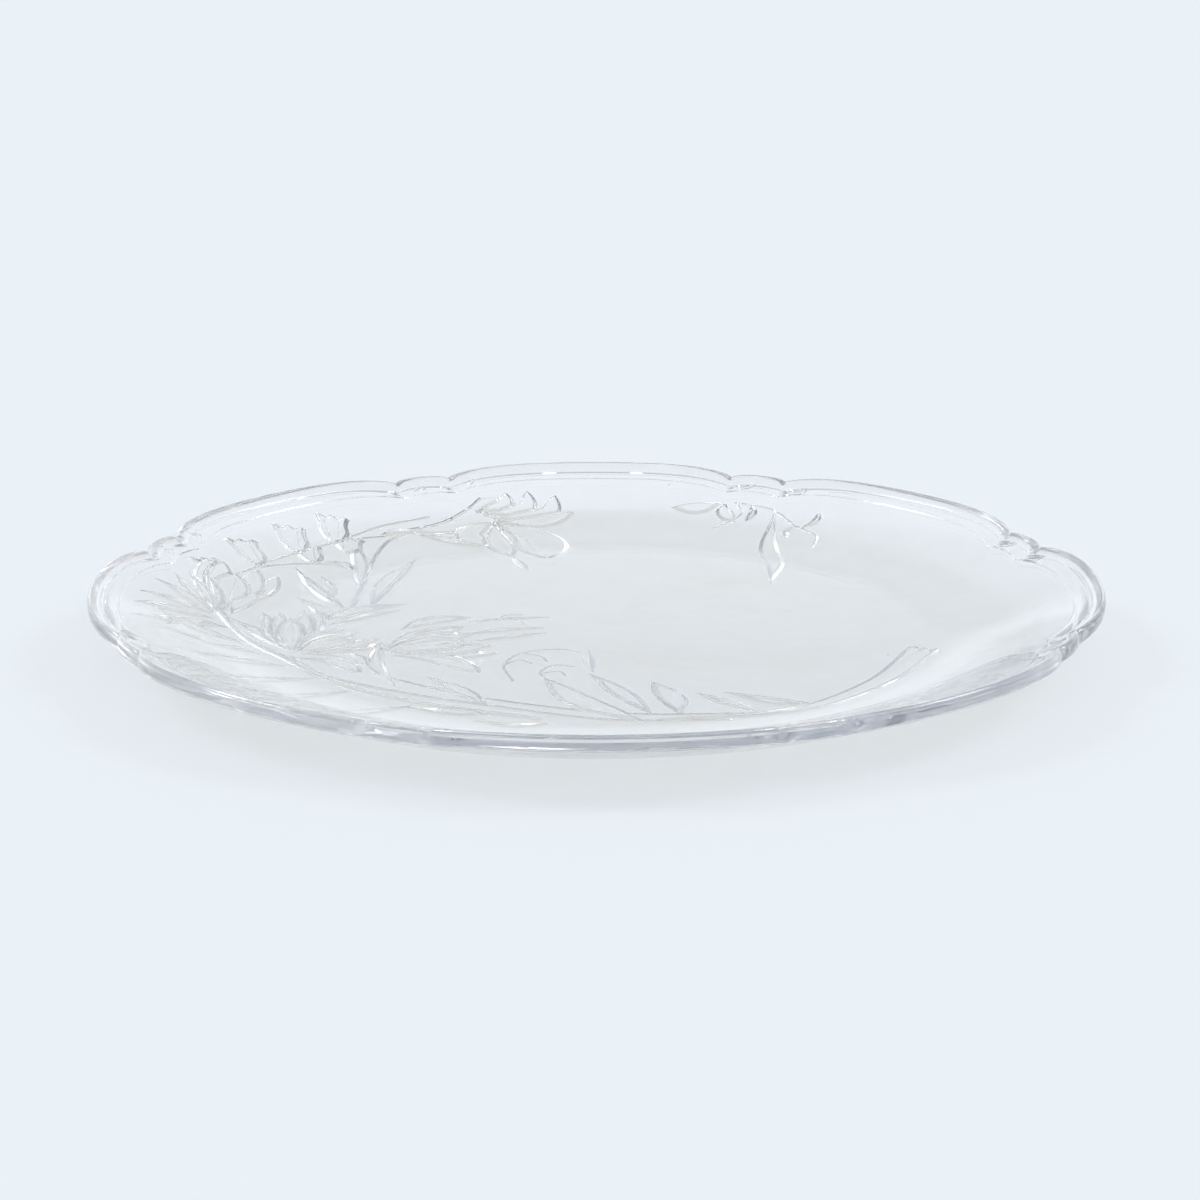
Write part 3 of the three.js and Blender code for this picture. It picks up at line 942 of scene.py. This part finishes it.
def makeGlass(name):
    material = bpy.data.materials.new(name)
    material.use_nodes = True
    tree = material.node_tree
    nodes, links = tree.nodes, tree.links
    shader = nodes["Principled BSDF"]
    shader.inputs["IOR"].default_value = glass["ior"]
    shader.inputs["Transmission Weight"].default_value = 1
    spot = nodes.new("ShaderNodeTexCoord").outputs["Object"]

    stain = patchNode(tree, spot, glass["stainScale"], glass["stainDetail"])
    stain = rangeNode(tree, stain, *glass["stainRange"])
    mottle = noiseNode(tree, spot, glass["mottleScale"], glass["mottleDetail"])
    mottle = rangeNode(tree, mottle, *glass["mottleRange"])
    # painted reflection: warm streaks on the front flare
    paintedReflection = paintedReflectionMask(tree, spot)
    # steep walls of the pressed outlines: painted shade in the colour, and more roughness
    crease = rangeNode(tree, attributeNode(tree, "steepness"), *glass["creaseShadeAndMatteRange"])
    # depth of the pressed forms: painted shade in the colour, and more roughness
    hollow = rangeNode(tree, attributeNode(tree, "hollow"), *glass["hollowShadeAndMatteRange"])
    cells = nodes.new("ShaderNodeTexVoronoi")
    cells.inputs["Scale"].default_value = glass["seedScale"]
    links.new(spot, cells.inputs["Vector"])
    speck = mathNode(tree, "LESS_THAN", cells.outputs["Distance"], glass["seedSize"])
    pick = nodes.new("ShaderNodeSeparateColor")
    links.new(cells.outputs["Color"], pick.inputs["Color"])
    seed = mathNode(tree, "MULTIPLY", speck, mathNode(tree, "LESS_THAN", pick.outputs[0], glass["seedShare"]))
    colour = tintNode(tree, stain, glass["stainColour"], glass["colour"])
    colour = tintNode(tree, mottle, glass["mottleColour"], colour, "MULTIPLY")
    # tints the painted reflection into the glass colour
    colour = tintNode(tree, paintedReflection, glass["paintedReflectionColour"], colour, "MULTIPLY")
    # painted shade inside the pressed forms
    colour = tintNode(tree, hollow, glass["hollowShadeColour"], colour, "MULTIPLY")
    # painted shade along the outline walls
    colour = tintNode(tree, crease, glass["outlineShadeColour"], colour)
    colour = tintNode(tree, seed, glass["seedColour"], colour)
    links.new(colour, shader.inputs["Base Color"])

    smudge = noiseNode(tree, spot, glass["smudgeScale"], glass["smudgeDetail"])
    smudge = rangeNode(tree, smudge, *glass["smudgeRange"], *glass["roughness"])
    matte = mathNode(tree, "MULTIPLY_ADD", hollow, glass["hollowRoughness"], smudge)
    matte = mathNode(tree, "MULTIPLY_ADD", crease, glass["creaseRoughness"], matte)
    links.new(matte, shader.inputs["Roughness"])
    wave = nodes.new("ShaderNodeBump")
    wave.inputs["Distance"].default_value = glass["waveHeight"]
    ripple = noiseNode(tree, spot, glass["waveScale"], glass["waveDetail"])
    links.new(ripple, wave.inputs["Height"])
    links.new(wave.outputs["Normal"], shader.inputs["Normal"])

    absorb = nodes.new("ShaderNodeVolumeAbsorption")
    absorb.inputs["Color"].default_value = glass["absorbColour"]
    absorb.inputs["Density"].default_value = glass["absorbDensity"]
    links.new(absorb.outputs["Volume"], nodes["Material Output"].inputs["Volume"])
    return material


platter.data.materials.append(makeGlass("firePolishedGlass"))
print("glass: fire-polished, with film, specks and mould waviness")

stage = {
    "floorColour": (0.589, 0.655, 0.776, 1),
    "floorGlow": (0.919, 0.942, 0.918, 1),
    "floorSize": 60.0,
    "floorGap": 0.00025,  # keeps the base clear of the floor
    "ownLight": 0.62,  # share of the floor's brightness that a shadow leaves
}


def makeFloor():
    half = stage["floorSize"] / 2
    low = lowCorner.z - stage["floorGap"]
    mesh = bpy.data.meshes.new("floor")
    corners = [(x * half, y * half, low) for x, y in ((-1, -1), (1, -1), (1, 1), (-1, 1))]
    mesh.from_pydata(corners, [], [(0, 1, 2, 3)])
    floor = bpy.data.objects.new("floor", mesh)
    bpy.context.scene.collection.objects.link(floor)
    material = bpy.data.materials.new("paleTable")
    material.use_nodes = True
    tree = material.node_tree
    nodes, links = tree.nodes, tree.links
    shader = nodes["Principled BSDF"]
    shader.inputs["Base Color"].default_value = stage["floorColour"]
    shader.inputs["Roughness"].default_value = 1
    shader.inputs["Specular IOR Level"].default_value = 0
    glow = nodes.new("ShaderNodeEmission")
    glow.inputs["Color"].default_value = stage["floorGlow"]
    rays = nodes.new("ShaderNodeLightPath").outputs
    seen = mathNode(tree, "MAXIMUM", rays["Is Camera Ray"], rays["Is Glossy Ray"])
    seen = mathNode(tree, "MAXIMUM", seen, rays["Is Transmission Ray"])
    mix = nodes.new("ShaderNodeMixShader")
    links.new(mathNode(tree, "MULTIPLY", seen, stage["ownLight"]), mix.inputs["Fac"])
    links.new(shader.outputs[0], mix.inputs[1])
    links.new(glow.outputs[0], mix.inputs[2])
    links.new(mix.outputs[0], nodes["Material Output"].inputs["Surface"])
    mesh.materials.append(material)


makeFloor()
print("floor: pale table under the platter")

sky = {
    "tint": (0.885, 0.946, 1.0),
    "byHeight": (  # sine of the height, and the level there
        (0.0, 1.06), (0.235, 1.06), (0.285, 0.8), (0.45, 0.9), (0.6, 0.95), (0.8, 1.0), (1.0, 1.0),
    ),
    "bySide": ((0.0, 0.5), (0.3, 0.75), (0.55, 1.02), (1.0, 1.1)),  # from the viewer's side to the far side
    "softboxSide": 0.73,  # across, back and up to each of the two softboxes
    "softboxBack": 0.15,
    "softboxUp": 0.67,
    "softboxSize": (0.982, 0.993),  # cosines of the outer and inner edge
    "softboxLevel": 9.0,
    "stripTurn": 0.21,  # tangents of the two strip lights' turn from straight in front
    "stripHalf": 0.03,
    "stripHeight": 0.62,  # sines of their middle and half length
    "stripReach": 0.28,
    "stripLevel": 2.0,
    "bounces": 160,  # light runs far inside the glass
}


def makeRamp(nodes, stops, tint):
    ramp = nodes.new("ShaderNodeValToRGB")
    elements = ramp.color_ramp.elements
    while len(elements) < len(stops):
        elements.new(1)
    for element, (position, level) in zip(elements, stops):
        element.position = position
        element.color = (*(level * part for part in tint), 1)
    return ramp


def makeSky():
    world = bpy.data.worlds.new("studioTent")
    bpy.context.scene.world = world
    world.use_nodes = True
    tree = world.node_tree
    nodes, links = tree.nodes, tree.links
    background = nodes["Background"]
    direction = nodes.new("ShaderNodeTexCoord")
    split = nodes.new("ShaderNodeSeparateXYZ")
    byHeight = makeRamp(nodes, sky["byHeight"], sky["tint"])
    bySide = makeRamp(nodes, sky["bySide"], (1, 1, 1))
    depth = nodes.new("ShaderNodeMapRange")
    depth.inputs["From Min"].default_value = -1
    level = nodes.new("ShaderNodeVectorMath")
    level.operation = "MULTIPLY"
    links.new(direction.outputs["Generated"], split.inputs["Vector"])
    links.new(split.outputs["Z"], byHeight.inputs["Fac"])
    links.new(split.outputs["Y"], depth.inputs["Value"])
    links.new(depth.outputs["Result"], bySide.inputs["Fac"])
    links.new(byHeight.outputs["Color"], level.inputs[0])
    links.new(bySide.outputs["Color"], level.inputs[1])

    x, y, z = (split.outputs[axis] for axis in "XYZ")
    facing = mathNode(tree, "MULTIPLY", mathNode(tree, "ABSOLUTE", x), sky["softboxSide"])
    facing = mathNode(tree, "MULTIPLY_ADD", y, sky["softboxBack"], facing)
    facing = mathNode(tree, "MULTIPLY_ADD", z, sky["softboxUp"], facing)
    softboxes = rangeNode(tree, facing, *sky["softboxSize"], 0, sky["softboxLevel"])
    slant = mathNode(tree, "ABSOLUTE", mathNode(tree, "DIVIDE", x, y))
    turned = mathNode(tree, "COMPARE", slant, sky["stripTurn"], sky["stripHalf"])
    raised = mathNode(tree, "COMPARE", z, sky["stripHeight"], sky["stripReach"])
    inFront = mathNode(tree, "LESS_THAN", y, 0)
    strips = mathNode(tree, "MULTIPLY", mathNode(tree, "MULTIPLY", turned, raised), inFront)
    lamps = mathNode(tree, "MULTIPLY_ADD", strips, sky["stripLevel"], softboxes)
    total = nodes.new("ShaderNodeVectorMath")
    total.operation = "ADD"
    links.new(level.outputs["Vector"], total.inputs[0])
    links.new(lamps, total.inputs[1])
    links.new(total.outputs["Vector"], background.inputs["Color"])
    cycles = bpy.context.scene.cycles
    cycles.max_bounces = sky["bounces"]
    cycles.transmission_bounces = sky["bounces"]
    cycles.glossy_bounces = sky["bounces"]
    cycles.caustics_refractive = True
    cycles.caustics_reflective = True


makeSky()
print("light: studio tent, two softboxes and two strips")

view = {
    "distance": 1.421,
    "elevation": 15.55,  # degrees
    "turn": -0.89,  # degrees counter-clockwise, seen from above, from straight in front
    "lens": 126.96,  # millimetres, on the sensor below
    "sensor": 36.0,
    "farthest": 200.0,  # metres
    "shiftX": 0.0029,
    "shiftY": -0.0143,
}


def makeCamera():
    camera = bpy.data.cameras.new("camera")
    camera.lens = view["lens"]
    camera.sensor_width = view["sensor"]
    camera.shift_x = view["shiftX"]
    camera.shift_y = view["shiftY"]
    camera.clip_end = view["farthest"]
    holder = bpy.data.objects.new("camera", camera)
    bpy.context.scene.collection.objects.link(holder)
    target = Vector((0, 0, highCorner.z))
    up, turn = math.radians(view["elevation"]), math.radians(view["turn"])
    away = Vector((math.sin(turn) * math.cos(up), -math.cos(turn) * math.cos(up), math.sin(up)))
    holder.location = target + away * view["distance"]
    holder.rotation_euler = (-away).to_track_quat("-Z", "Y").to_euler()
    bpy.context.scene.camera = holder


makeCamera()
bpy.context.scene.view_settings.view_transform = "Standard"
print("camera: at the photograph's angle")
